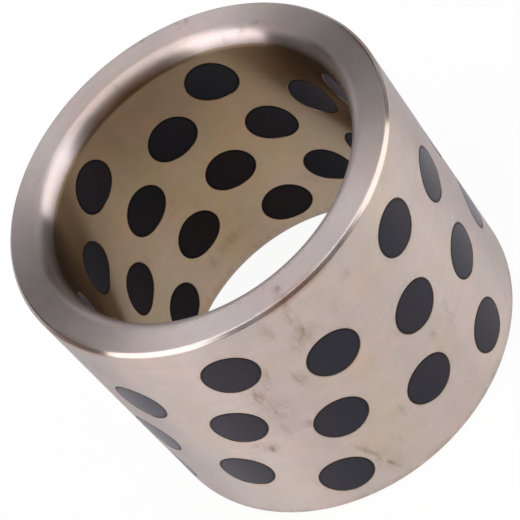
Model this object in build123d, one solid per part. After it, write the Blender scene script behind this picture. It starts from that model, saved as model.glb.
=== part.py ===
from build123d import *
from math import floor
import os

# Graphite plugged bushing: a plain turned bronze sleeve bearing with round plugs of
# solid lubricant set through its wall, flush with the bore and with the outside.
# Frame: +Z along the bore, the sleeve standing on its lower end face, the origin on the
# bore's axis in the plane of that face. Lengths are in millimetres, angles in degrees.

# Sleeve
bore_diameter = 30.0
wall_thickness = 4.0
length = 30.0
bore_lip_radius = 1.7      # round lead-in where the bore opens into each end face
rim_radius = 0.45          # small round between each end face and the outside

# Plugs
plug_diameter = 5.2
plug_edge_break = 0.1      # worn edge that leaves a hairline groove round each plug end
plugs_per_row = 6
row_pitch = 3.95           # from one row of plugs to the next, along the axis
row_twist = -25.2          # turn from one row to the next one up, about +Z
rows_drop = 0.3            # how far the middle of the rows lies below mid-length
least_land = 0.3           # least plain bore left between a plug and the lip

bore_radius = bore_diameter / 2
outer_radius = bore_radius + wall_thickness
plug_radius = plug_diameter / 2
plug_spacing = 360 / plugs_per_row


def row_heights():
    """Heights of the rows' centres, as many rows as the length has room for."""
    end_margin = bore_lip_radius + least_land + plug_radius + rows_drop
    row_count = floor((length - 2 * end_margin) / row_pitch) + 1
    first = length / 2 - rows_drop - (row_count - 1) * row_pitch / 2
    return [first + row * row_pitch for row in range(row_count)]


def plug_places():
    """Name and place of each plug, row by row from the lower end."""
    places = {}
    for row, height in enumerate(row_heights()):
        for column in range(plugs_per_row):
            angle = row * row_twist + column * plug_spacing
            name = f"graphite_plug_{row + 1}_{column + 1}"
            places[name] = Location((0, 0, height), (0, 0, angle))
    return places


def make_rod():
    """Round rod along +X from the axis to past the outside, as the drill cuts it."""
    return Rot(0, 90, 0) * extrude(Circle(plug_radius), outer_radius + wall_thickness)


def make_sleeve(places):
    """Turned sleeve with round lips and rims and a hole through the wall for each plug."""
    section = Rectangle(wall_thickness, length, align=(Align.MIN, Align.MIN))
    section = fillet(section.vertices().group_by(Axis.X)[0], bore_lip_radius)
    section = fillet(section.vertices().group_by(Axis.X)[-1], rim_radius)
    blank = revolve(Plane.XZ * Pos(bore_radius, 0) * section, Axis.Z)
    return blank - [place * make_rod() for place in places.values()]


def make_plug():
    """One plug along +X, with curved ends that lie flush with the bore and the outside."""
    ring_height = 2 * plug_diameter
    ring = Cylinder(outer_radius, ring_height) - Cylinder(bore_radius, ring_height)
    plug = ring & make_rod()
    faces = plug.faces().sort_by(Axis.X)
    return chamfer(faces[0].edges() + faces[-1].edges(), plug_edge_break)


def main():
    """Write each piece to a STEP file named for it."""
    os.makedirs("parts", exist_ok=True)
    places = plug_places()
    plug = make_plug()
    pieces = {"bushing_sleeve": make_sleeve(places)}
    for name, place in places.items():
        pieces[name] = place * plug
    for name, piece in pieces.items():
        export_step(piece, f"parts/{name}.step")


main()
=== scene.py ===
"""A graphite plugged bushing: a turned bronze sleeve with round plugs of solid lubricant.

The sleeve stands on its lower end face, with +Z along its bore and the origin on the
bore's axis in the plane of that face. Lengths are in metres and angles in radians, but
marks have lengths in millimetres, and marks, lamps and the camera have angles in degrees.
"""

import logging
import math
from dataclasses import dataclass, field
from enum import Enum
from functools import reduce
from typing import Any, Sequence

import bpy
from mathutils import Euler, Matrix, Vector
from mathutils.geometry import delaunay_2d_cdt


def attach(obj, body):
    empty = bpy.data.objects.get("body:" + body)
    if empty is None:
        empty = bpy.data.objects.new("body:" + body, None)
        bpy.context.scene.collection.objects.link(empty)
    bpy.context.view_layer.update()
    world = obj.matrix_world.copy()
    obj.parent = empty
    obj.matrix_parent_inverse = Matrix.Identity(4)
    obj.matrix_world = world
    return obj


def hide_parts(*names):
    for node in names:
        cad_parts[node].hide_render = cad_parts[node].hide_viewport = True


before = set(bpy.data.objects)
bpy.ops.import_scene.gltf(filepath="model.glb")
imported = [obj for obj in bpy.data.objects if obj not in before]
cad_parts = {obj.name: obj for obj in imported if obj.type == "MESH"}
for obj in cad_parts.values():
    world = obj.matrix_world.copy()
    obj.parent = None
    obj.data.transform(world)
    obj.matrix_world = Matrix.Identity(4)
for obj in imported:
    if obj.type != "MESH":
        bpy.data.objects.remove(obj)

MM = 0.001

log = logging.getLogger("bushing")

Number = float | int
Colour = tuple[float, float, float]
Point = tuple[float, float, float]


# ------------------------ shader trees


class Wire:
    """An output socket of a shader tree, on which arithmetic is written as Python."""

    def __init__(self, tree: "Tree", socket: bpy.types.NodeSocket) -> None:
        """Keep the tree and the output socket that gives the value."""
        self.tree = tree
        self.socket = socket

    def maths(self, operation: str, *others: "Wire | Number", first: bool = True) -> "Wire":
        """Add a Math node that takes this value first, or else last, and others."""
        values = (self, *others) if first else (*others, self)
        return self.tree.node("ShaderNodeMath", {"operation": operation},
                              dict(enumerate(values)))

    def __add__(self, other: "Wire | Number") -> "Wire":
        """Return self + other."""
        return self.maths("ADD", other)

    __radd__ = __add__

    def __sub__(self, other: "Wire | Number") -> "Wire":
        """Return self - other."""
        return self.maths("SUBTRACT", other)

    def __rsub__(self, other: "Wire | Number") -> "Wire":
        """Return other - self."""
        return self.maths("SUBTRACT", other, first=False)

    def __mul__(self, other: "Wire | Number") -> "Wire":
        """Return self * other."""
        return self.maths("MULTIPLY", other)

    __rmul__ = __mul__

    def __truediv__(self, other: "Wire | Number") -> "Wire":
        """Return self / other."""
        return self.maths("DIVIDE", other)

    def __pow__(self, other: "Wire | Number") -> "Wire":
        """Return self to the power of other."""
        return self.maths("POWER", other)

    def step(self, low: Number, high: Number) -> "Wire":
        """Go smoothly from 0 where this value is low to 1 where it is high.

        Args:
            low: The value that gives 0.
            high: The value that gives 1. It may be the lesser of the two.

        Returns:
            The step, from 0 to 1.
        """
        rising = low < high
        settings = {"interpolation_type": "SMOOTHSTEP"}
        span = {"Value": self, "From Min": min(low, high), "From Max": max(low, high),
                "To Min": 0 if rising else 1, "To Max": 1 if rising else 0}
        return self.tree.node("ShaderNodeMapRange", settings, span)

    def above(self, other: "Wire | Number") -> "Wire":
        """Return the greater of self and other."""
        return self.maths("MAXIMUM", other)

    def below(self, other: "Wire | Number") -> "Wire":
        """Return the lesser of self and other."""
        return self.maths("MINIMUM", other)


class Tree:
    """A material's or a world's node tree, built one node at a time."""

    def __init__(self, owner: bpy.types.Material | bpy.types.World) -> None:
        """Empty the owner's node tree.

        Args:
            owner: The material or world whose tree is built.
        """
        owner.use_nodes = True
        self.nodes = owner.node_tree.nodes
        self.links = owner.node_tree.links
        self.nodes.clear()

    def node(self, kind: str, settings: dict[str, Any] | None = None,
             sockets: dict[str | int, Any] | None = None, output: str | int = 0) -> Wire:
        """Add a node.

        Args:
            kind: The node's type.
            settings: The node's own properties, set before its sockets.
            sockets: A value or a wire for each named or numbered input socket.
            output: The output socket that is wanted.

        Returns:
            The wire of that output socket.
        """
        made = self.nodes.new(kind)
        for name, value in (settings or {}).items():
            setattr(made, name, value)
        for name, value in (sockets or {}).items():
            if isinstance(value, Wire):
                self.links.new(value.socket, made.inputs[name])
            else:
                made.inputs[name].default_value = value
        found = made.outputs[output] if len(made.outputs) else None
        return Wire(self, found)

    def mix(self, factor: Wire | Number, low: Wire | Colour, high: Wire | Colour,
            blend: str = "MIX") -> Wire:
        """Mix two colours, of which high is the one that a factor of 1 gives."""
        pair = [value if isinstance(value, Wire) else (*value, 1.0) for value in (low, high)]
        return self.node("ShaderNodeMix", {"data_type": "RGBA", "blend_type": blend},
                         {0: factor, 6: pair[0], 7: pair[1]}, 2)

    def tint(self, colour: Wire, amount: Wire, tint: Colour) -> Wire:
        """Multiply a colour by a tint, as far as the amount of it goes from 0 to 1."""
        return self.mix(amount, colour, tint, "MULTIPLY")

    def shade(self, colour: Wire | Colour, level: Wire) -> Wire:
        """Multiply a colour by a grey level, where 1 leaves the colour as it is."""
        grey = self.node("ShaderNodeCombineColor", {}, {0: level, 1: level, 2: level})
        return self.mix(1.0, colour, grey, "MULTIPLY")


@dataclass(frozen=True)
class Ramp:
    """A level that rises softly from 0, where a value is start, to full, where it is end."""

    start: float
    end: float
    full: float = 1.0

    def of(self, value: Wire) -> Wire:
        """Return the level at a value."""
        return value.step(self.start, self.end) * self.full


@dataclass(frozen=True)
class Noise:
    """A noise of values near 0.5, or soft patches that a ramp cuts out of it.

    Attributes:
        scale: How many times it changes per metre.
        detail: How many finer layers it has.
        roughness: How strong the finer layers are.
        depth: Its fourth coordinate, if it has one.
    """

    scale: float
    detail: float = 2.0
    roughness: float = 0.5
    depth: Wire | Number | None = None
    ramp: Ramp | None = None

    def at(self, place: Wire) -> Wire:
        """Add the noise.

        Args:
            place: The vector at which it is read.

        Returns:
            The noise or its patches.
        """
        sockets = {"Vector": place, "Scale": self.scale, "Detail": self.detail,
                   "Roughness": self.roughness}
        if self.depth is not None:
            sockets["W"] = self.depth
        kind = "3D" if self.depth is None else "4D"
        noise = place.tree.node("ShaderNodeTexNoise", {"noise_dimensions": kind}, sockets)
        return self.ramp.of(noise) if self.ramp else noise


class RoundSurface:
    """Where a point of a round piece lies, for the patterns of its finish."""

    def __init__(self, tree: Tree) -> None:
        """Read the place in the piece's own frame.

        Args:
            tree: The tree that the patterns are built in.
        """
        self.tree = tree
        self.place = tree.node("ShaderNodeTexCoord", {}, {}, "Object")
        self.x, self.y, self.height = (
            tree.node("ShaderNodeSeparateXYZ", {}, {0: self.place}, axis) for axis in "XYZ")
        self.radius = (self.x * self.x + self.y * self.y) ** 0.5
        self.angle = self.y.maths("ARCTAN2", self.x)

    def rings(self, pitch: float, length: float) -> Wire:
        """Add the broken rings that a turning tool leaves round the axis.

        Args:
            pitch: The distance from one ring to the next.
            length: The angle over which a ring goes unbroken.

        Returns:
            A noise of values near 0.5.
        """
        away = self.radius * length
        way = self.tree.node("ShaderNodeCombineXYZ", {}, {
            0: self.x / away, 1: self.y / away, 2: self.height / pitch})
        return Noise(1.0, 1.0, depth=self.radius / pitch).at(way)


# ------------------------ mesh making


@dataclass
class Shell:
    """The vertices, normals and faces of one smooth closed mesh."""

    points: list[Vector] = field(default_factory=list)
    normals: list[Vector] = field(default_factory=list)
    faces: list[tuple[int, ...]] = field(default_factory=list)

    def add(self, point: Vector, normal: Vector) -> int:
        """Add a vertex.

        Args:
            point: Its place.
            normal: The surface's normal there.

        Returns:
            The vertex's number.
        """
        self.points.append(point)
        self.normals.append(normal.normalized())
        return len(self.points) - 1

    def bridge(self, lower: Sequence[int], upper: Sequence[int]) -> None:
        """Join two closed rings of as many vertices with quads.

        Args:
            lower: The first ring.
            upper: The second ring.
        """
        for here in range(len(lower)):
            there = (here + 1) % len(lower)
            self.faces.append((lower[here], lower[there], upper[there], upper[here]))

    def build(self, name: str) -> bpy.types.Object:
        """Make the mesh and link its object to the scene.

        Args:
            name: The object's name.

        Returns:
            The object.
        """
        mesh = bpy.data.meshes.new(name)
        mesh.from_pydata(self.points, [], self.faces)
        mesh.polygons.foreach_set("use_smooth", [True] * len(mesh.polygons))
        mesh.normals_split_custom_set_from_vertices(self.normals)
        mesh.update()
        made = bpy.data.objects.new(name, mesh)
        bpy.context.scene.collection.objects.link(made)
        return made


def spin(point: Vector, angle: float) -> Vector:
    """Turn a point about +Z."""
    cosine, sine = math.cos(angle), math.sin(angle)
    return Vector((cosine * point.x - sine * point.y, sine * point.x + cosine * point.y,
                   point.z))


# ------------------------ the form


class Side(Enum):
    """Which way a wall faces, as the sign of its normal along the radius."""

    OUTSIDE = 1
    BORE = -1


class End(Enum):
    """One end of the sleeve, as the sign of its face's normal along the bore."""

    UPPER = 1
    LOWER = -1


@dataclass(frozen=True)
class PlugPattern:
    """Where the plugs stand: rows round the sleeve, each row turned from the one below."""

    rows: int = 6
    per_row: int = 6
    first_height: float = 4.825 * MM
    pitch: float = 3.95 * MM
    twist: float = math.radians(-25.2)
    hole_radius: float = 2.6 * MM

    @property
    def spacing(self) -> float:
        """Return the angle from one plug of a row to the next."""
        return math.tau / self.per_row

    @property
    def lead(self) -> float:
        """Return how far before its first holes a sector of the walls begins."""
        return self.spacing / 4

    @property
    def lean(self) -> float:
        """Return the turn per metre of height of the line that joins every other row."""
        return (2 * self.twist + self.spacing) / (2 * self.pitch)

    def shift(self, height: float) -> float:
        """Return the turn of that line at a height."""
        return self.lean * (height - self.first_height)

    def height(self, row: int) -> float:
        """Return the height of a row's centres."""
        return self.first_height + row * self.pitch

    def angle(self, row: int, column: int) -> float:
        """Return the angle at which a plug stands."""
        return row * self.twist + column * self.spacing

    def gap(self, surface: RoundSurface) -> Wire:
        """Work out how far a point lies outside the nearest plug.

        Args:
            surface: The surface of the sleeve or of a plug.

        Returns:
            The distance from the plug's edge. It is negative on the plug.
        """
        distances = []
        for first_row in (0, 1):
            start = self.height(first_row)
            pairs = ((surface.height - start) / (2 * self.pitch)).maths("ROUND")
            pairs = pairs.above(0).below((self.rows - 1 - first_row) // 2)
            up = surface.height - start - pairs * (2 * self.pitch)
            turn = surface.angle - first_row * self.twist - pairs * (2 * self.twist)
            across = surface.radius * turn.maths("WRAP", self.spacing / 2,
                                                 -self.spacing / 2).maths("SINE")
            distances.append((across * across + up * up) ** 0.5)
        return reduce(Wire.below, distances) - self.hole_radius


@dataclass(frozen=True)
class Arc:
    """A round or oval stretch of the section's outline near an end face.

    Its centre is middle from the axis and depth below the end face. It reaches reach along
    the radius and drop along the bore. A turn is 0 where the outline faces away from the
    axis, and a quarter where it faces the end.
    """

    reach: float
    drop: float
    middle: float
    depth: float
    first_turn: float
    last_turn: float
    steps: int

    def points(self) -> list[tuple[float, float, float]]:
        """List the arc's points.

        Returns:
            Each point's distance from the axis and its depth below the end face, and the
            turn of its normal.
        """
        found = []
        for step in range(self.steps + 1):
            turn = self.first_turn + (self.last_turn - self.first_turn) * step / self.steps
            out, down = math.cos(turn), math.sin(turn)
            found.append((self.middle + self.reach * out, self.depth - self.drop * down,
                          math.atan2(down / self.drop, out / self.reach)))
        return found


@dataclass(frozen=True)
class Section:
    """The sleeve's section: two walls, an oval lip at the bore and a bevelled rim outside.

    Attributes:
        lip_edge: The turn of the lip's normals at the bore, so that the edge there shows.
        lip_hold: How fast that turn dies out towards the end face, as a power.
        rim_tilt: The turn of the bevel's normal.
    """

    bore_radius: float = 15.0 * MM
    outer_radius: float = 19.0 * MM
    length: float = 30.0 * MM
    lip_reach: float = 1.45 * MM
    lip_drop: float = 1.9 * MM
    lip_edge: float = math.radians(12.0)
    lip_hold: int = 4
    rim_reach: float = 0.45 * MM
    rim_tilt: float = math.radians(41.0)
    rim_corner: float = 0.28 * MM
    lip_steps: int = 16
    rim_steps: int = 8

    @property
    def face_start(self) -> float:
        """Return the radius at which the end face begins."""
        return self.bore_radius + self.lip_reach

    @property
    def face_end(self) -> float:
        """Return the radius at which the end face ends."""
        return self.outer_radius - self.rim_reach

    @property
    def rim_drop(self) -> float:
        """Return how far the bevel of the rim, with its round corners, reaches down."""
        return self.rim_corner + (self.rim_reach - self.rim_corner) / math.tan(self.rim_tilt)

    def radius(self, side: Side) -> float:
        """Return the radius of one of the walls."""
        return self.outer_radius if side is Side.OUTSIDE else self.bore_radius

    def margin(self, side: Side) -> float:
        """Return how far one of the walls stops short of each end."""
        return self.rim_drop if side is Side.OUTSIDE else self.lip_drop

    def outline(self) -> list[tuple[float, float, float]]:
        """Trace an end from the outside over the rim, the end face and the lip.

        Returns:
            The points between the two walls, as Arc.points gives them.
        """
        quarter, tilt, corner = math.pi / 2, self.rim_tilt, self.rim_corner
        arcs = (Arc(corner, corner, self.outer_radius - corner, self.rim_drop, 0, tilt,
                    self.rim_steps),
                Arc(corner, corner, self.face_end, corner, tilt, quarter, self.rim_steps),
                Arc(self.lip_reach, self.lip_drop, self.face_start, self.lip_drop, quarter,
                    2 * quarter, self.lip_steps))
        points = [point for arc in arcs for point in arc.points()][1:-1]
        return [(radius, depth, turn - self.lip_edge
                 * max(0.0, turn / quarter - 1) ** self.lip_hold)
                for radius, depth, turn in points]


# ------------------------ finishes


class Mark(Enum):
    """What a mark on the bronze is made of; some patina and tarnish marks are painted shade."""

    GREASE = "grease"
    TARNISH_AND_SHADE = "tarnish"
    PATINA_AND_SHADE = "patina"


@dataclass(frozen=True)
class Smudge:
    """An oval mark on the bronze: most are left by handling, a tool or the air, some are painted
    shade.

    It reaches around the axis, up along the bore and out along the radius from its middle.
    Its upper end leans over.
    """

    kind: Mark
    angle: float
    radius: float
    height: float
    around: float
    up: float
    strength: float
    lean: float = 0.0
    out: float = 3.0

    def level(self, surface: RoundSurface) -> Wire:
        """Work out how strong the mark is.

        Args:
            surface: The surface that it lies on.

        Returns:
            The level, from 0 to the mark's strength at its middle.
        """
        turn = math.radians(self.angle)
        middle = Vector((self.radius * math.cos(turn), self.radius * math.sin(turn),
                         self.height)) * MM
        near = surface.tree.node("ShaderNodeMapping", {"vector_type": "TEXTURE"}, {
            "Vector": surface.place, "Location": middle,
            "Rotation": (math.radians(self.lean), 0.0, turn),
            "Scale": Vector((self.out, self.around, self.up)) * MM})
        away = surface.tree.node("ShaderNodeVectorMath", {"operation": "LENGTH"}, {0: near},
                                 "Value")
        return away.step(1.0, 0.0) * self.strength


# Each row says angle, radius, height, around, up and strength, and some lean and out.
SMUDGES = tuple(Smudge(kind, *sizes) for kind, table in (
    (Mark.GREASE, (
        # streaks and spots on the outside
        (249.3, 19.0, 27.9, 0.80, 2.3, 0.34),
        (256.6, 19.0, 25.4, 0.80, 2.0, 0.58),
        (256.2, 19.0, 24.6, 2.40, 2.4, 0.42),
        (247.3, 19.0, 20.4, 0.55, 2.0, 0.40),
        (249.0, 19.0, 20.3, 0.50, 1.8, 0.34),
        (239.5, 19.0, 21.6, 1.00, 1.3, 0.42),
        (235.9, 19.0, 20.2, 1.00, 2.4, 0.52),
        (237.1, 19.0, 17.6, 0.80, 2.8, 0.44),
        (236.8, 19.0, 18.0, 2.60, 5.5, 0.26),
        (235.6, 19.0, 15.0, 0.70, 2.1, 0.36),
        (227.6, 19.0, 12.4, 1.20, 1.2, 0.66),
        (225.9, 19.0, 13.2, 1.80, 0.9, 0.44),
        (241.1, 19.0, 14.3, 0.70, 0.9, 0.90),
        (251.6, 19.0, 3.6, 0.50, 2.4, 0.90, 18.0),
        (249.4, 19.0, 6.2, 0.60, 3.0, 0.64, 18.0),
        (251.0, 19.0, 4.6, 2.00, 4.0, 0.24, 18.0),
        (220.3, 19.0, 9.7, 0.70, 1.0, 0.30),
        (274.1, 19.0, 27.0, 1.20, 1.0, 0.26),
        (268.0, 19.0, 20.5, 0.60, 1.6, 0.22),
        (266.5, 19.0, 25.0, 0.60, 1.4, 0.22),
        (263.5, 19.0, 8.5, 0.40, 1.8, 0.26),
        (283.5, 19.0, 12.3, 0.80, 1.0, 0.28),
        # two spots low in the bore and two on the upper end face
        (85.3, 15.0, 4.9, 2.30, 1.3, 0.55),
        (95.5, 15.0, 4.8, 2.50, 1.4, 0.60),
        (53.3, 18.3, 30.0, 0.35, 1.0, 0.60, 0.0, 0.50),
        (68.8, 18.5, 30.0, 2.20, 1.0, 0.40, 0.0, 0.45),
    )),
    (Mark.PATINA_AND_SHADE, (
        # painted shade at the foot of the upper lip and on the upper rim, and patina in the bore
        # painted shade: the dark band at the foot of the upper lip, where it meets the bore
        (81.0, 15.1, 28.7, 9.00, 1.0, 0.95),
        # painted shade: darker reflections along the upper rim
        (262.5, 18.8, 29.75, 7.00, 0.7, 0.70, 0.0, 0.7),
        (193.0, 18.8, 29.75, 9.00, 0.7, 0.75, 0.0, 0.7),
        (350.0, 18.8, 29.75, 10.0, 0.7, 0.60, 0.0, 0.7),
        (84.0, 15.0, 25.0, 11.0, 9.0, 0.26),
        (21.0, 15.0, 25.5, 5.50, 6.5, 0.60),
        (80.0, 15.0, 4.0, 5.50, 6.0, 0.16),
    )),
    (Mark.TARNISH_AND_SHADE, (
        # wide yellow patches on the outside and in the bore, and painted shade at the foot of
        # the upper lip
        (256.0, 19.0, 6.0, 6.50, 8.0, 0.58),
        (262.0, 19.0, 17.0, 10.0, 16.0, 0.30),
        (216.5, 19.0, 21.0, 2.50, 4.5, 0.38),
        (285.5, 19.0, 10.0, 2.50, 4.5, 0.32),
        (82.0, 15.0, 27.0, 11.0, 10.0, 0.95),
        (84.0, 15.0, 11.0, 11.0, 13.0, 1.00),
        # painted shade at the foot of the upper lip
        (80.0, 15.2, 28.6, 9.00, 1.6, 1.00),
    )),
) for sizes in table)


@dataclass(frozen=True)
class BronzeFinish:
    """Turned bronze: a satin ground with fine rings from the tool, marks from use and painted
    shade.

    Attributes:
        coarse_rings: The rings' pitch, and the angle over which each goes unbroken.
        lower_lip: How far the bore's finish reaches out over the lower lip, by height.
        bore_air: How much the air has yellowed the bore, by height.
        plain_air: The share of the yellowing that needs no ochre patch.
        seat: The dark line round a plug, inside a broken halo.
        pits: The specks along the edge between the lip and the end face.
    """

    pattern: PlugPattern
    section: Section
    ground: Colour = (0.56, 0.475, 0.435)
    end_ground: Colour = (0.53, 0.462, 0.455)
    # The bore's own olive colour, made darker as painted shade for the dim inside of the bore.
    bore_ground_and_shade: Colour = (0.37, 0.288, 0.208)
    edge_tint: Colour = (0.68, 0.70, 0.76)
    pink_tint: Colour = (1.03, 0.970, 0.985)
    ochre_tint: Colour = (1.03, 1.00, 0.89)
    tarnish_and_shade_tint: Colour = (0.975, 0.89, 0.72)
    dark_mark_tint: Colour = (0.24, 0.150, 0.090)
    patina_and_shade_tint: Colour = (0.48, 0.30, 0.20)
    roughness: float = 0.30
    face_roughness: float = 0.40
    lip_roughness: float = 0.31
    rim_roughness: float = 0.25
    anisotropy: float = 0.95
    ring_depth: float = 0.0012 * MM
    ring_turn: float = 0.25
    coarse_rings: tuple[float, float] = (0.24 * MM, 0.30)
    fine_rings: tuple[float, float] = (0.09 * MM, 0.12)
    fine_relief: float = 0.5
    bore_edge: Ramp = Ramp(0.09 * MM, 0.02 * MM)
    lower_lip: Ramp = Ramp(4.0 * MM, 2.5 * MM, 0.9 * MM)
    face_edge: Ramp = Ramp(-0.4 * MM, -0.1 * MM)
    rim_edge: Ramp = Ramp(0.0, 0.12 * MM)
    outside_edge: Ramp = Ramp(0.0, -0.02 * MM)
    gloss: float = 0.86
    gloss_rings: float = 0.12
    gloss_clouds: float = 0.16
    clouds: Noise = Noise(300.0, 3.0)
    pink: Noise = Noise(210.0, 3.0, 0.6, ramp=Ramp(0.42, 0.66))
    ochre: Noise = Noise(170.0, 3.0, 0.6, 4.3, ramp=Ramp(0.46, 0.68))
    ochre_outside: float = 0.6
    bore_air: Ramp = Ramp(5.0 * MM, 22.0 * MM, 0.55)
    plain_air: float = 0.65
    ring_shade: float = 0.14
    grain: Noise = Noise(4000.0)
    grain_shade: float = 0.12
    patches: Noise = Noise(420.0, 4.0, 0.6)
    patch_shade: float = 0.24
    smudges: tuple[Smudge, ...] = SMUDGES
    stretch: float = 0.35
    streaks: Noise = Noise(1500.0, 4.0, 0.62)
    streak: Ramp = Ramp(0.30, 0.60, 0.8)
    hairs: Noise = Noise(620.0, 3.0, 0.6, 6.1)
    hair: Ramp = Ramp(0.04, 0.0, 0.6)
    spread: Noise = Noise(330.0, 3.0, 0.6, 1.7, ramp=Ramp(0.60, 0.78, 0.60))
    seat: Ramp = Ramp(0.14 * MM, 0.02 * MM, 0.70)
    halo: Ramp = Ramp(0.8 * MM, 0.0, 0.16)
    halo_streaks: Ramp = Ramp(0.46, 0.66)
    # How much darker the bronze grows near the lower end face.
    foot: Ramp = Ramp(1.3 * MM, 0.6 * MM, 0.30)
    foot_streaks: Ramp = Ramp(0.35, 0.65)
    bore_foot: float = 1.2 * MM
    pits: Ramp = Ramp(0.35 * MM, 0.0, 0.40)
    pit_line: float = 0.1 * MM
    specks: Noise = Noise(2600.0, ramp=Ramp(0.58, 0.72))

    def material(self) -> bpy.types.Material:
        """Make the material of the sleeve.

        Returns:
            The material.
        """
        made = bpy.data.materials.new("turned_bronze")
        tree = Tree(made)
        surface = RoundSurface(tree)
        coarse, fine = surface.rings(*self.coarse_rings), surface.rings(*self.fine_rings)
        relief = coarse + fine * self.fine_relief
        bump = tree.node("ShaderNodeBump", {}, {
            "Strength": 1.0, "Distance": self.ring_depth, "Height": relief})
        shader = tree.node("ShaderNodeBsdfPrincipled", {}, {
            "Base Color": self._colour(surface, coarse), "Metallic": 1.0,
            "Roughness": self._roughness(surface, coarse), "Normal": bump,
            "Anisotropic": self.anisotropy, "Anisotropic Rotation": self.ring_turn,
            "Specular Tint": (*self.edge_tint, 1.0)})
        tree.node("ShaderNodeOutputMaterial", {}, {"Surface": shader})
        return made

    def _bore(self, surface: RoundSurface) -> Wire:
        """Return 1 in the bore and on its lower lip, and 0 elsewhere."""
        out = surface.radius - self.section.bore_radius - self.lower_lip.of(surface.height)
        return self.bore_edge.of(out)

    def _roughness(self, surface: RoundSurface, rings: Wire) -> Wire:
        """Work out the roughness of the outside, the ends, the lips, the rims and the bore.

        Args:
            surface: The surface of the sleeve.
            rings: The rings that the tool has left.

        Returns:
            The roughness.
        """
        face = self.face_edge.of(surface.radius - self.section.face_start)
        rim = self.rim_edge.of(surface.radius - self.section.face_end)
        edge = self.outside_edge.of(surface.radius - self.section.outer_radius)
        base = (self.roughness
                + face * (1 - rim) * (self.face_roughness - self.roughness)
                + (1 - face) * (1 - self._bore(surface)) * (self.lip_roughness - self.roughness)
                + rim * edge * (self.rim_roughness - self.roughness))
        cloud = self.clouds.at(surface.place)
        return base * (self.gloss + rings * self.gloss_rings + cloud * self.gloss_clouds)

    def _colour(self, surface: RoundSurface, rings: Wire) -> Wire:
        """Work out the colour, with its clouds, its rings and its marks.

        Args:
            surface: The surface of the sleeve.
            rings: The rings that the tool has left.

        Returns:
            The colour.
        """
        tree, bore = surface.tree, self._bore(surface)
        end = surface.radius.step(self.section.outer_radius, self.section.face_end)
        colour = tree.mix(end, self.ground, self.end_ground)
        # In the bore and on the lower lip the colour is partly painted shade.
        colour = tree.mix(bore, colour, self.bore_ground_and_shade)
        ochre = self.ochre.at(surface.place)
        colour = tree.tint(colour, self.pink.at(surface.place), self.pink_tint)
        share = self.ochre_outside + bore * (1 - self.ochre_outside)
        colour = tree.tint(colour, ochre * share, self.ochre_tint)
        depth = self.bore_air.of(surface.height) * bore
        # Yellowing by the air, and painted shade at the foot of the upper lip.
        air = self._marks(surface, Mark.TARNISH_AND_SHADE) * (
            self.plain_air + ochre * (1 - self.plain_air))
        colour = tree.tint(colour, air.above(depth), self.tarnish_and_shade_tint)
        # Patina in the bore, and painted shade at the foot of the upper lip and on the upper
        # rim.
        colour = tree.tint(colour, self._marks(surface, Mark.PATINA_AND_SHADE), self.patina_and_shade_tint)
        grain, patch = self.grain.at(surface.place), self.patches.at(surface.place)
        level = (1.0 + (rings - 0.5) * self.ring_shade + (grain - 0.5) * self.grain_shade
                 + (patch - 0.5) * self.patch_shade)
        return tree.mix(self._darkening(surface), tree.shade(colour, level), self.dark_mark_tint)

    def _marks(self, surface: RoundSurface, kind: Mark) -> Wire:
        """Lay all the marks of one kind over each other."""
        return reduce(Wire.above, (smudge.level(surface) for smudge in self.smudges
                                   if smudge.kind is kind))

    def _darkening(self, surface: RoundSurface) -> Wire:
        """Work out where grease, graphite and a band at the lower end darken the bronze.

        Args:
            surface: The surface of the sleeve.

        Returns:
            How dark the bronze grows.
        """
        long = surface.tree.node("ShaderNodeCombineXYZ", {}, {
            0: surface.x, 1: surface.y, 2: surface.height * self.stretch})
        streaks = self.streaks.at(long)
        hairs = (self.hairs.at(long) - 0.5).maths("ABSOLUTE")
        marks = self._marks(surface, Mark.GREASE).above(self.spread.at(long)) * (
            self.streak.of(streaks) + self.hair.of(hairs))
        gap = self.pattern.gap(surface)
        halo = self.halo.of(gap) * self.halo_streaks.of(streaks)
        # The bronze grows darker, in streaks, near the lower end: up to 1.3 mm on the outside
        # and up to 2.5 mm in the bore.
        low = surface.height - self._bore(surface) * self.bore_foot
        foot = self.foot.of(low) * self.foot_streaks.of(streaks)
        line = self.section.face_start + self.pit_line
        pits = (self.pits.of((surface.radius - line).maths("ABSOLUTE"))
                * self.specks.at(surface.place))
        return reduce(Wire.above, (marks, self.seat.of(gap), halo, foot, pits))


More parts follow.
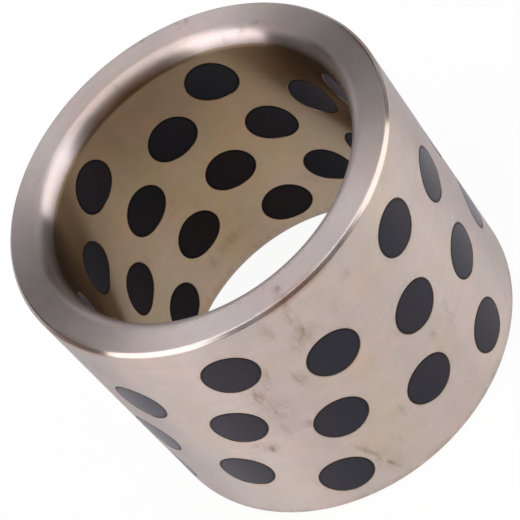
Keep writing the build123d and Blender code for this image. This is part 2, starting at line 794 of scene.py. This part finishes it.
@dataclass(frozen=True)
class GraphiteFinish:
    """Pressed graphite, machined flush: near black with a fine grain and a cool sheen."""

    pattern: PlugPattern
    section: Section
    ground: Colour = (0.0105, 0.0102, 0.0185)
    warm_ground: Colour = (0.0145, 0.0110, 0.0180)
    # Painted light: lifts the plugs in the bore, standing in for the light that is dim there.
    bore_painted_light: Colour = (1.75, 1.85, 1.25)
    fleck: Colour = (0.045, 0.043, 0.052)
    warmth: Noise = Noise(110.0, 1.0, ramp=Ramp(0.40, 0.60))
    flecks: Noise = Noise(8000.0, 1.0, ramp=Ramp(0.66, 0.76, 0.6))
    grain: Noise = Noise(5200.0, 3.0, 0.6)
    bore: Ramp = Ramp(1.5 * MM, 0.5 * MM)
    edge: Ramp = Ramp(-0.35 * MM, -0.05 * MM)
    turned_rings: tuple[float, float] = (0.20 * MM, 0.10)
    base_shade: float = 0.55
    ring_shade: float = 0.5
    grain_shade: float = 0.4
    edge_shade: float = 0.6
    roughness: float = 0.35
    bore_wear: float = 0.62
    grain_wear: float = 0.2
    ring_wear: float = 0.12
    edge_wear: float = 0.15
    specular: float = 0.14
    sheen: float = 0.16
    sheen_tint: Colour = (0.82, 0.68, 1.0)
    sheen_roughness: float = 0.35
    grain_depth: float = 0.004 * MM
    ring_relief: float = 0.5

    def material(self) -> bpy.types.Material:
        """Make the material of the plugs.

        Returns:
            The material.
        """
        made = bpy.data.materials.new("pressed_graphite")
        tree = Tree(made)
        surface = RoundSurface(tree)
        bore = self.bore.of(surface.radius - self.section.bore_radius)
        edge = self.edge.of(self.pattern.gap(surface))
        grain, rings = self.grain.at(surface.place), surface.rings(*self.turned_rings)
        colour = tree.mix(self.warmth.at(surface.place), self.ground, self.warm_ground)
        # Plugs in the bore are painted lighter, as painted light for the dim bore.
        colour = tree.tint(colour, bore, self.bore_painted_light)
        colour = tree.shade(colour, self.base_shade + rings * self.ring_shade
                            + grain * self.grain_shade)
        colour = tree.mix(self.flecks.at(surface.place), colour, self.fleck)
        colour = tree.shade(colour, 1 - edge * self.edge_shade)
        rough = (self.roughness + bore * self.bore_wear + (grain - 0.5) * self.grain_wear
                 + (rings - 0.5) * self.ring_wear + edge * self.edge_wear)
        relief = grain + rings * self.ring_relief
        bump = tree.node("ShaderNodeBump", {}, {
            "Strength": 1.0, "Distance": self.grain_depth, "Height": relief})
        shader = tree.node("ShaderNodeBsdfPrincipled", {}, {
            "Base Color": colour, "Roughness": rough, "Normal": bump,
            "Specular IOR Level": self.specular, "Sheen Weight": self.sheen,
            "Sheen Roughness": self.sheen_roughness, "Sheen Tint": (*self.sheen_tint, 1.0)})
        tree.node("ShaderNodeOutputMaterial", {}, {"Surface": shader})
        return made


# ------------------------ the bushing


@dataclass(frozen=True)
class WallSpot:
    """The middle of a hole or of a plug's end on one of the walls."""

    shell: Shell
    side: Side
    radius: float
    height: float
    angle: float

    def ring(self, reach: float, depth: float, turn: float, steps: int) -> list[int]:
        """Add a ring of vertices round the spot, which follows the curve of the wall.

        Args:
            reach: The ring's radius.
            depth: How far it lies under the wall.
            turn: How far its normals turn from the wall's own, away from the spot.
            steps: How many vertices it has.

        Returns:
            The ring.
        """
        side, ring = self.side.value, []
        for step in range(steps):
            around = math.tau * step / steps
            across, up = reach * math.cos(around), reach * math.sin(around)
            out = math.sqrt(self.radius ** 2 - across ** 2)
            face = Vector((out, across, 0)) * side / self.radius
            away = Vector((0, math.cos(around), math.sin(around)))
            ring.append(self.shell.add(
                spin(Vector((out - side * depth, across, self.height + up)), self.angle),
                spin(face * math.cos(turn) + away * math.sin(turn), self.angle)))
        return ring


@dataclass
class DrilledWall:
    """The outside or the bore: a round wall with the mouths of the holes in it.

    It is meshed in sectors. A sector's sides lean with the pattern, so that they pass
    between the holes. Its even rows have a hole at turn 0, and its odd rows have one half
    the spacing further on.
    """

    pattern: PlugPattern
    shell: Shell
    side: Side
    radius: float
    low: float
    high: float
    mouth_radius: float = 0.05 * MM
    sector_steps: int = 48
    hole_steps: int = 64
    mouth_steps: int = 3
    level_step: float = 0.75 * MM
    collars: tuple[float, ...] = (0.0, 0.09 * MM, 0.20 * MM)
    collar_gap: float = 0.18 * MM
    merge_distance: float = 1e-9
    bottom: list[int] = field(default_factory=list)
    top: list[int] = field(default_factory=list)
    mouths: list[list[int]] = field(default_factory=list)

    def build(self) -> "DrilledWall":
        """Mesh one sector flat and copy it round the axis.

        Returns:
            This wall, with its open edges filled in.
        """
        flat: list[Vector] = []
        mouths = [self._collars(flat, row) for row in range(self.pattern.rows)]
        levels = self._levels(flat)
        faces = self._triangles(flat, mouths)
        sectors = [[self._place(point, sector) for point in flat]
                   for sector in range(self.pattern.per_row)]
        for sector, numbers in enumerate(sectors):
            following = sectors[(sector + 1) % len(sectors)]
            for level in levels:
                numbers[level[-1]] = following[level[0]]
        for sector, numbers in enumerate(sectors):
            for face in faces:
                corners = [numbers[corner] for corner in face]
                self.shell.faces.append(tuple(corners[::self.side.value]))
            for row, mouth in enumerate(mouths):
                self.mouths.append(self._round_mouth(
                    [numbers[corner] for corner in mouth], row, sector))
            self.bottom += [numbers[corner] for corner in levels[0][:-1]]
            self.top += [numbers[corner] for corner in levels[-1][:-1]]
        return self

    def _collars(self, flat: list[Vector], row: int) -> list[int]:
        """Lay out the rings of points round one hole of the sector.

        Args:
            flat: The sector's points, as turn times radius and height. It gets more.
            row: The hole's row.

        Returns:
            The ring at the hole's mouth.
        """
        rings = []
        for collar in self.collars:
            ring = []
            reach = self.pattern.hole_radius + self.mouth_radius + collar
            for step in range(self.hole_steps):
                around = math.tau * step / self.hole_steps
                across, up = reach * math.cos(around), reach * math.sin(around)
                turn = (self._hole_turn(row) + math.asin(across / self.radius)
                        - self.pattern.lean * up)
                ring.append(len(flat))
                flat.append(Vector((turn * self.radius, self.pattern.height(row) + up)))
            rings.append(ring)
        return rings[0]

    def _levels(self, flat: list[Vector]) -> list[list[int]]:
        """Lay out the sector's grid, clear of the holes.

        Args:
            flat: The sector's points. It gets more.

        Returns:
            The grid's points, level by level, each from the first side to the second.
        """
        count = round((self.high - self.low) / self.level_step)
        levels = []
        for number in range(count + 1):
            height = self.low + (self.high - self.low) * number / count
            level = []
            for step in range(self.sector_steps + 1):
                turn = self.pattern.spacing * step / self.sector_steps - self.pattern.lead
                edge = number in (0, count) or step in (0, self.sector_steps)
                if edge or self._is_clear(turn, height):
                    level.append(len(flat))
                    flat.append(Vector((turn * self.radius, height)))
            levels.append(level)
        return levels

    def _hole_turn(self, row: int) -> float:
        """Return the turn of a row's hole within the sector."""
        return row % 2 * self.pattern.spacing / 2

    def _is_clear(self, turn: float, height: float) -> bool:
        """Say whether a grid point lies clear of every hole's collars.

        Args:
            turn: The point's turn within the sector.
            height: The point's height.

        Returns:
            Whether it is clear.
        """
        least = self.pattern.hole_radius + self.mouth_radius + self.collars[-1] + self.collar_gap
        for row in range(self.pattern.rows):
            up = height - self.pattern.height(row)
            across = self.radius * math.sin(turn - self._hole_turn(row)
                                            + self.pattern.lean * up)
            if math.hypot(across, up) < least:
                return False
        return True

    def _triangles(self, flat: list[Vector], mouths: list[list[int]]) -> list[tuple[int, ...]]:
        """Join the flat points in triangles, and leave the holes open.

        Args:
            flat: The sector's points.
            mouths: The ring at each hole's mouth.

        Returns:
            The triangles' corners.
        """
        edges = [(here, there) for ring in mouths
                 for here, there in zip(ring, ring[1:] + ring[:1])]
        owner = {corner: row for row, ring in enumerate(mouths) for corner in ring}
        _, _, faces, origins, *_ = delaunay_2d_cdt(flat, edges, [], 0, self.merge_distance)
        joined = [tuple(origins[corner][0] for corner in face) for face in faces]
        return [face for face in joined
                if owner.get(face[0]) is None or len({owner.get(c) for c in face}) > 1]

    def _place(self, point: Vector, sector: int) -> int:
        """Add a flat point's vertex to a sector of the shell and return its number."""
        angle = (point.x / self.radius + sector * self.pattern.spacing
                 + self.pattern.shift(point.y))
        return self.shell.add(spin(Vector((self.radius, 0, point.y)), angle),
                              spin(Vector((self.side.value, 0, 0)), angle))

    def _round_mouth(self, mouth: list[int], row: int, sector: int) -> list[int]:
        """Round a hole's edge from the wall into the hole.

        Args:
            mouth: The hole's ring on the wall.
            row: The hole's row.
            sector: The hole's sector.

        Returns:
            The ring where the hole's own wall begins.
        """
        height = self.pattern.height(row)
        angle = (self._hole_turn(row) + sector * self.pattern.spacing
                 + self.pattern.shift(height))
        spot = WallSpot(self.shell, self.side, self.radius, height, angle)
        ring = mouth
        for step in range(1, self.mouth_steps + 1):
            turn = math.pi / 2 * step / self.mouth_steps
            deeper = spot.ring(
                self.pattern.hole_radius + self.mouth_radius * (1 - math.sin(turn)),
                self.mouth_radius * (1 - math.cos(turn)), -turn, self.hole_steps)
            self.shell.bridge(*(ring, deeper)[::self.side.value])
            ring = deeper
        return ring


@dataclass
class Sleeve:
    """The turned sleeve, with round lips, round rims and a hole for each plug."""

    pattern: PlugPattern
    section: Section
    shell: Shell = field(default_factory=Shell)

    def build(self, finish: bpy.types.Material) -> bpy.types.Object:
        """Make the sleeve and dress it.

        Args:
            finish: The material of the whole sleeve.

        Returns:
            The sleeve.
        """
        outer, bore = self._wall(Side.OUTSIDE), self._wall(Side.BORE)
        self._end(outer.bottom, bore.bottom, End.LOWER)
        self._end(outer.top, bore.top, End.UPPER)
        for outer_mouth, bore_mouth in zip(outer.mouths, bore.mouths):
            self.shell.bridge(outer_mouth, bore_mouth)
        made = self.shell.build("turned_sleeve")
        made.data.materials.append(finish)
        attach(made, "root")
        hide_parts("bushing_sleeve")
        return made

    def _wall(self, side: Side) -> DrilledWall:
        """Make one of the two drilled walls."""
        low, radius = self.section.margin(side), self.section.radius(side)
        return DrilledWall(self.pattern, self.shell, side, radius, low,
                           self.section.length - low).build()

    def _end(self, outer: list[int], bore: list[int], end: End) -> None:
        """Join the outside to the bore over one end.

        Args:
            outer: The last ring of the outside.
            bore: The last ring of the bore.
            end: Which end it is.
        """
        rings, count = [outer], len(outer)
        for radius, depth, turn in self.section.outline():
            height = self.section.length - depth if end is End.UPPER else depth
            point = Vector((radius, 0, height))
            normal = Vector((math.cos(turn), 0, end.value * math.sin(turn)))
            first = self.pattern.shift(height) - self.pattern.lead
            angles = [first + math.tau * step / count for step in range(count)]
            rings.append([self.shell.add(spin(point, angle), spin(normal, angle))
                          for angle in angles])
        rings.append(bore)
        for here, there in zip(rings, rings[1:]):
            self.shell.bridge(*(here, there)[::end.value])


@dataclass
class Plugs:
    """The plugs: round rods through the wall, with worn edges at both ends."""

    pattern: PlugPattern
    section: Section
    radius: float = 2.597 * MM
    edge_radius: float = 0.1 * MM
    recess: float = 0.01 * MM
    around_steps: int = 48
    edge_steps: int = 3
    rings: tuple[float, ...] = (0.3, 0.6, 0.85, 1.0)

    def build(self, finish: bpy.types.Material) -> list[bpy.types.Object]:
        """Make every plug in its hole.

        Args:
            finish: The material of the plugs.

        Returns:
            The plugs, row by row.
        """
        made = []
        for row in range(self.pattern.rows):
            for column in range(self.pattern.per_row):
                name = f"{row + 1}_{column + 1}"
                plug = self._plug(row, column).build(f"lubricant_plug_{name}")
                plug.data.materials.append(finish)
                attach(plug, "root")
                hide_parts(f"graphite_plug_{name}")
                made.append(plug)
        return made

    def _plug(self, row: int, column: int) -> Shell:
        """Shape one plug in its place.

        Args:
            row: The plug's row.
            column: The plug's number in the row.

        Returns:
            The plug's shell.
        """
        shell = Shell()
        outer, bore = (self._end(WallSpot(
            shell, side, self.section.radius(side), self.pattern.height(row),
            self.pattern.angle(row, column))) for side in (Side.OUTSIDE, Side.BORE))
        shell.bridge(bore, outer)
        return shell

    def _end(self, spot: WallSpot) -> list[int]:
        """Add one end of a plug, just under the sleeve's wall.

        Args:
            spot: The end's middle on that wall.

        Returns:
            The ring where the plug's side begins.
        """
        side, flat = spot.side.value, self.radius - self.edge_radius
        profile = [(flat * share, 0.0, 0.0) for share in self.rings]
        for step in range(1, self.edge_steps + 1):
            turn = math.pi / 2 * step / self.edge_steps
            profile.append((flat + self.edge_radius * math.sin(turn),
                            self.edge_radius * (1 - math.cos(turn)), turn))
        centre, = spot.ring(0.0, self.recess, 0.0, 1)
        rings = [spot.ring(reach, self.recess + depth, turn, self.around_steps)
                 for reach, depth, turn in profile]
        for here in range(self.around_steps):
            corners = (centre, rings[0][here], rings[0][(here + 1) % self.around_steps])
            spot.shell.faces.append(corners[::side])
        for inner, ring in zip(rings, rings[1:]):
            spot.shell.bridge(*(ring, inner)[::side])
        return rings[-1]


# ------------------------ the studio


@dataclass(frozen=True)
class SoftBox:
    """An oblong area lamp that looks at the bushing."""

    name: str
    azimuth: float
    elevation: float
    width: float
    height: float
    level: float
    distance: float = 1.0

    def build(self, target: Vector) -> None:
        """Hang the lamp.

        Args:
            target: The point that it looks at.
        """
        data = bpy.data.lights.new(self.name, "AREA")
        data.shape = "RECTANGLE"
        data.size, data.size_y = self.width, self.height
        data.energy = self.level * math.pi * self.width * self.height
        made = bpy.data.objects.new(self.name, data)
        turn, rise = math.radians(self.azimuth), math.radians(self.elevation)
        away = Vector((math.cos(turn) * math.cos(rise), math.sin(turn) * math.cos(rise),
                       math.sin(rise)))
        made.location = target + away * self.distance
        made.rotation_euler = away.to_track_quat("Z", "Y").to_euler()
        made.visible_camera = False
        bpy.context.scene.collection.objects.link(made)


@dataclass(frozen=True)
class Studio:
    """The camera, the pale floor, the world and the lamps.

    Attributes:
        floor_glow: The floor's share of plain white in what the camera and mirrors see.
        horizon: How white the sky is, by the height of a direction.
    """

    camera_place: Point = (-0.022618, -0.144493, 0.169966)
    camera_turn: Point = (36.0166, 26.1415, -39.9425)
    lens: float = 157.456
    clip_start: float = 0.01
    floor_reach: float = 3.0
    floor_drop: float = 0.02 * MM
    floor_paint: Colour = (0.9, 0.9, 0.9)
    floor_glow: float = 0.93
    target: Point = (0.0, 0.0, 0.015)
    sky_level: float = 0.05
    horizon: Ramp = Ramp(0.08, 0.01)
    lamps: tuple[SoftBox, ...] = (
        SoftBox("left_box", -171.0, 33.0, 0.88, 1.3, 2.35),
        SoftBox("right_box", -26.0, 33.0, 0.82, 1.3, 2.05),
        SoftBox("top_box", 81.1, 76.0, 0.7, 0.26, 3.4),
        SoftBox("near_box", -98.9, 67.0, 0.7, 0.58, 1.65),
        SoftBox("back_box", 81.1, 56.0, 0.7, 0.36, 0.60),
        SoftBox("wall_box", 81.1, 25.0, 0.9, 0.55, 0.6),
        SoftBox("front_box", -98.9, 9.0, 0.8, 0.28, 0.40),
        SoftBox("left_fill", 142.0, 43.0, 0.45, 0.45, 0.60),
        SoftBox("right_fill", 20.0, 43.0, 0.45, 0.45, 0.55),
    )

    def build(self) -> None:
        """Set up the whole studio."""
        scene = bpy.context.scene
        scene.view_settings.view_transform = "Standard"
        self._camera()
        self._floor()
        self._world()
        for lamp in self.lamps:
            lamp.build(Vector(self.target))

    def _camera(self) -> None:
        """Set up the camera."""
        data = bpy.data.cameras.new("view")
        data.lens = self.lens
        data.clip_start = self.clip_start
        made = bpy.data.objects.new("view", data)
        made.location = self.camera_place
        made.rotation_euler = Euler([math.radians(turn) for turn in self.camera_turn])
        bpy.context.scene.collection.objects.link(made)
        bpy.context.scene.camera = made

    def _floor(self) -> None:
        """Lay the floor under the bushing."""
        reach = self.floor_reach
        corners = [(-reach, -reach, 0), (reach, -reach, 0), (reach, reach, 0),
                   (-reach, reach, 0)]
        mesh = bpy.data.meshes.new("floor")
        mesh.from_pydata(corners, [], [(0, 1, 2, 3)])
        floor = bpy.data.objects.new("floor", mesh)
        floor.location = (0, 0, -self.floor_drop)
        bpy.context.scene.collection.objects.link(floor)
        material = bpy.data.materials.new("pale_floor")
        tree = Tree(material)
        paint = tree.node("ShaderNodeBsdfDiffuse", {}, {"Color": (*self.floor_paint, 1.0)})
        glow = tree.node("ShaderNodeEmission", {}, {"Color": (1, 1, 1, 1), "Strength": 1.0})
        seen = reduce(Wire.above, (
            tree.node("ShaderNodeLightPath", {}, {}, f"Is {ray} Ray")
            for ray in ("Camera", "Glossy", "Transmission")))
        mixed = tree.node("ShaderNodeMixShader", {}, {
            0: seen * self.floor_glow, 1: paint, 2: glow})
        tree.node("ShaderNodeOutputMaterial", {}, {"Surface": mixed})
        mesh.materials.append(material)

    def _world(self) -> None:
        """Give the world a pale horizon and a dim, even sky."""
        world = bpy.data.worlds.new("studio")
        bpy.context.scene.world = world
        tree = Tree(world)
        way = tree.node("ShaderNodeTexCoord", {}, {}, "Generated")
        up = tree.node("ShaderNodeSeparateXYZ", {}, {0: way}, "Z")
        level = self.sky_level + self.horizon.of(up) * (1 - self.sky_level)
        glow = tree.node("ShaderNodeBackground", {},
                         {"Color": (1.0, 1.0, 1.0, 1.0), "Strength": level})
        tree.node("ShaderNodeOutputWorld", {}, {"Surface": glow})


def main() -> None:
    """Build the bushing and its studio, and report each piece."""
    logging.basicConfig(level=logging.INFO, format="%(message)s")
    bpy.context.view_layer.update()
    pattern, section = PlugPattern(), Section()
    pieces = [Sleeve(pattern, section).build(BronzeFinish(pattern, section).material())]
    pieces += Plugs(pattern, section).build(GraphiteFinish(pattern, section).material())
    Studio().build()
    for piece in pieces:
        log.info("%s: %d faces", piece.name, len(piece.data.polygons))


if __name__ == "__main__":
    main()
